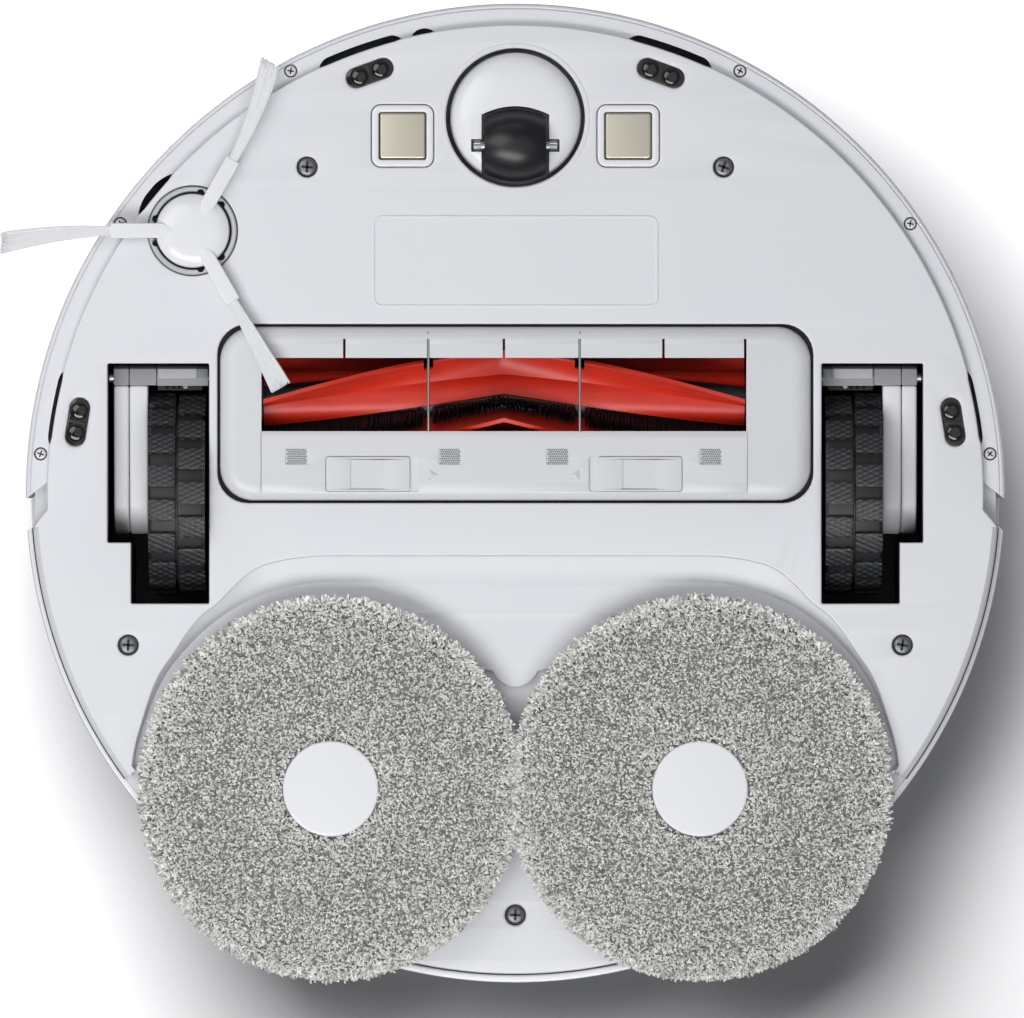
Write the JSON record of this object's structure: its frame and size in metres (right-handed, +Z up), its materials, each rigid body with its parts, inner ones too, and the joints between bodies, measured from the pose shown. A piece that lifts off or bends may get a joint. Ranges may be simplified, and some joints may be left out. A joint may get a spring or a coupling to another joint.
{
  "type": "robot vacuum",
  "caption": "Round robot vacuum and mop with a sprung bumper, drive wheels, swivel caster, side brush, bladed roller and lifting spinning mops.",
  "frame": {"origin": "on the floor, on the vertical axis of the round body", "axes": "+Z up, -Y the way it drives, +X its own left"},
  "size_m": [0.3543, 0.35, 0.097],
  "materials": {
    "white_abs": "semi-gloss moulded ABS, cool white",
    "grey_abs": "satin moulded ABS, light grey",
    "dark_abs": "fine-textured black plastic",
    "tyre_rubber": "knurled soft rubber tread",
    "caster_nylon": "satin black nylon",
    "steel": "plain steel",
    "mop_cloth": "looped microfibre pile with dark flecks",
    "nickel": "nickel plate",
    "smoked_lens": "polished smoked acrylic",
    "nylon_bristle": "white nylon filament",
    "red_tpu": "satin red elastomer",
    "tank_plastic": "smoked translucent plastic",
    "filter_paper": "pleated filter paper",
    "battery_wrap": "heat-shrink wrap",
    "circuit_board": "solder mask"
  },
  "bodies": {
    "chassis": {"chassis_base": "white_abs", "top_shell": "white_abs", "exhaust_grille": "grey_abs", "brush_housing": "grey_abs", "suction_duct": "dark_abs", "brush_gearmotor": "dark_abs", "roller_bearing": "grey_abs", "side_brush_motor": "dark_abs", "side_brush_collar": "grey_abs", "battery_pack": "battery_wrap", "main_board": "circuit_board", "fan_unit": "dark_abs", "dust_bin": "tank_plastic", "dust_filter": "filter_paper", "water_tank": "tank_plastic", "lidar_cage": "white_abs", "wheel_housing_left": "dark_abs", "pivot_pin_left": "steel", "suspension_spring_left": "steel", "mop_motor_left": "dark_abs", "charge_contact_left": "nickel", "cliff_sensor_front_left": "smoked_lens", "cliff_sensor_side_left": "smoked_lens", "wheel_housing_right": "dark_abs", "pivot_pin_right": "steel", "suspension_spring_right": "steel", "mop_motor_right": "dark_abs", "charge_contact_right": "nickel", "cliff_sensor_front_right": "smoked_lens", "cliff_sensor_side_right": "smoked_lens"},
    "bumper": {"bumper": "white_abs", "sensor_window": "smoked_lens"},
    "left_arm": {"arm_housing_left": "grey_abs"},
    "right_arm": {"arm_housing_right": "grey_abs"},
    "left_wheel": {"tyre_left": "tyre_rubber", "wheel_hub_left": "dark_abs"},
    "right_wheel": {"tyre_right": "tyre_rubber", "wheel_hub_right": "dark_abs"},
    "caster_fork": {"caster_fork": "white_abs", "caster_axle": "steel"},
    "caster_wheel": {"caster_wheel": "caster_nylon"},
    "side_brush": {"side_brush_hub": "white_abs", "bristle_tuft_1": "nylon_bristle", "bristle_tuft_2": "nylon_bristle", "bristle_tuft_3": "nylon_bristle"},
    "main_brush": {"brush_roller": "red_tpu"},
    "brush_cover": {"brush_cover": "grey_abs"},
    "left_latch": {"cover_latch_left": "grey_abs"},
    "right_latch": {"cover_latch_right": "grey_abs"},
    "left_mop_carrier": {"mop_sleeve_left": "grey_abs"},
    "right_mop_carrier": {"mop_sleeve_right": "grey_abs"},
    "left_mop": {"mop_plate_left": "white_abs", "mop_pad_left": "mop_cloth"},
    "right_mop": {"mop_plate_right": "white_abs", "mop_pad_right": "mop_cloth"},
    "lid": {"lid": "white_abs"},
    "lidar_rotor": {"lidar_rotor": "dark_abs"},
    "power_button": {"power_button": "grey_abs"},
    "home_button": {"home_button": "grey_abs"}
  },
  "joints": [
    {"name": "bumper_push", "type": "slide", "parent": "chassis", "child": "bumper", "axis": [0, 1, 0], "range_m": [0, 0.0025], "stiffness_N_per_m": 600, "springref_m": -0.002},
    {"name": "left_arm_swing", "type": "hinge", "parent": "chassis", "child": "left_arm", "pos_m": [0.1275, -0.0413, 0.024], "axis": [1, 0, 0], "range_deg": [-25, 0], "stiffness_Nm_per_rad": 0.2, "springref_deg": -34.38},
    {"name": "left_wheel_spin", "type": "hinge", "parent": "left_arm", "child": "left_wheel", "pos_m": [0.121, 0, 0.0365], "axis": [1, 0, 0], "continuous": true},
    {"name": "right_arm_swing", "type": "hinge", "parent": "chassis", "child": "right_arm", "pos_m": [-0.1275, -0.0413, 0.024], "axis": [1, 0, 0], "range_deg": [-25, 0], "stiffness_Nm_per_rad": 0.2, "springref_deg": -34.38},
    {"name": "right_wheel_spin", "type": "hinge", "parent": "right_arm", "child": "right_wheel", "pos_m": [-0.121, 0, 0.0365], "axis": [1, 0, 0], "continuous": true},
    {"name": "caster_swivel", "type": "hinge", "parent": "chassis", "child": "caster_fork", "pos_m": [0, -0.1342, 0.03], "axis": [0, 0, 1], "continuous": true},
    {"name": "caster_roll", "type": "hinge", "parent": "caster_fork", "child": "caster_wheel", "pos_m": [0, -0.1242, 0.01285], "axis": [1, 0, 0], "continuous": true},
    {"name": "side_brush_spin", "type": "hinge", "parent": "chassis", "child": "side_brush", "pos_m": [-0.1153, -0.0937, 0.008], "axis": [0, 0, 1], "continuous": true},
    {"name": "main_brush_spin", "type": "hinge", "parent": "chassis", "child": "main_brush", "pos_m": [-0.004, -0.0333, 0.027], "axis": [1, 0, 0], "continuous": true},
    {"name": "cover_open", "type": "hinge", "parent": "chassis", "child": "brush_cover", "pos_m": [0, -0.0585, 0.009], "axis": [1, 0, 0], "range_deg": [-60, 0], "deforming": ["bristle_tuft_3"]},
    {"name": "left_latch_slide", "type": "slide", "parent": "brush_cover", "child": "left_latch", "axis": [-1, 0, 0], "range_m": [0, 0.003], "stiffness_N_per_m": 300, "springref_m": -0.002},
    {"name": "right_latch_slide", "type": "slide", "parent": "brush_cover", "child": "right_latch", "axis": [1, 0, 0], "range_m": [0, 0.003], "stiffness_N_per_m": 300, "springref_m": -0.002},
    {"name": "left_mop_lift", "type": "slide", "parent": "chassis", "child": "left_mop_carrier", "axis": [0, 0, 1], "range_m": [0, 0.006]},
    {"name": "left_mop_spin", "type": "hinge", "parent": "left_mop_carrier", "child": "left_mop", "pos_m": [0.0659, 0.1055, 0.01], "axis": [0, 0, 1], "continuous": true},
    {"name": "right_mop_lift", "type": "slide", "parent": "chassis", "child": "right_mop_carrier", "axis": [0, 0, 1], "range_m": [0, 0.006]},
    {"name": "right_mop_spin", "type": "hinge", "parent": "right_mop_carrier", "child": "right_mop", "pos_m": [-0.0659, 0.1055, 0.01], "axis": [0, 0, 1], "continuous": true},
    {"name": "lid_open", "type": "hinge", "parent": "chassis", "child": "lid", "pos_m": [0, 0.0503, 0.0799], "axis": [1, 0, 0], "range_deg": [-70, 0]},
    {"name": "lidar_spin", "type": "hinge", "parent": "chassis", "child": "lidar_rotor", "pos_m": [0, 0.095, 0.087], "axis": [0, 0, 1], "continuous": true},
    {"name": "power_button_press", "type": "slide", "parent": "chassis", "child": "power_button", "axis": [0, 0, -1], "range_m": [0, 0.0008], "stiffness_N_per_m": 500, "springref_m": -0.001},
    {"name": "home_button_press", "type": "slide", "parent": "chassis", "child": "home_button", "axis": [0, 0, -1], "range_m": [0, 0.0008], "stiffness_N_per_m": 500, "springref_m": -0.001}
  ],
  "couplings": [
    {"joint": "right_mop_lift", "follows": "left_mop_lift", "ratio": 1},
    {"joint": "right_mop_spin", "follows": "left_mop_spin", "ratio": -1}
  ]
}
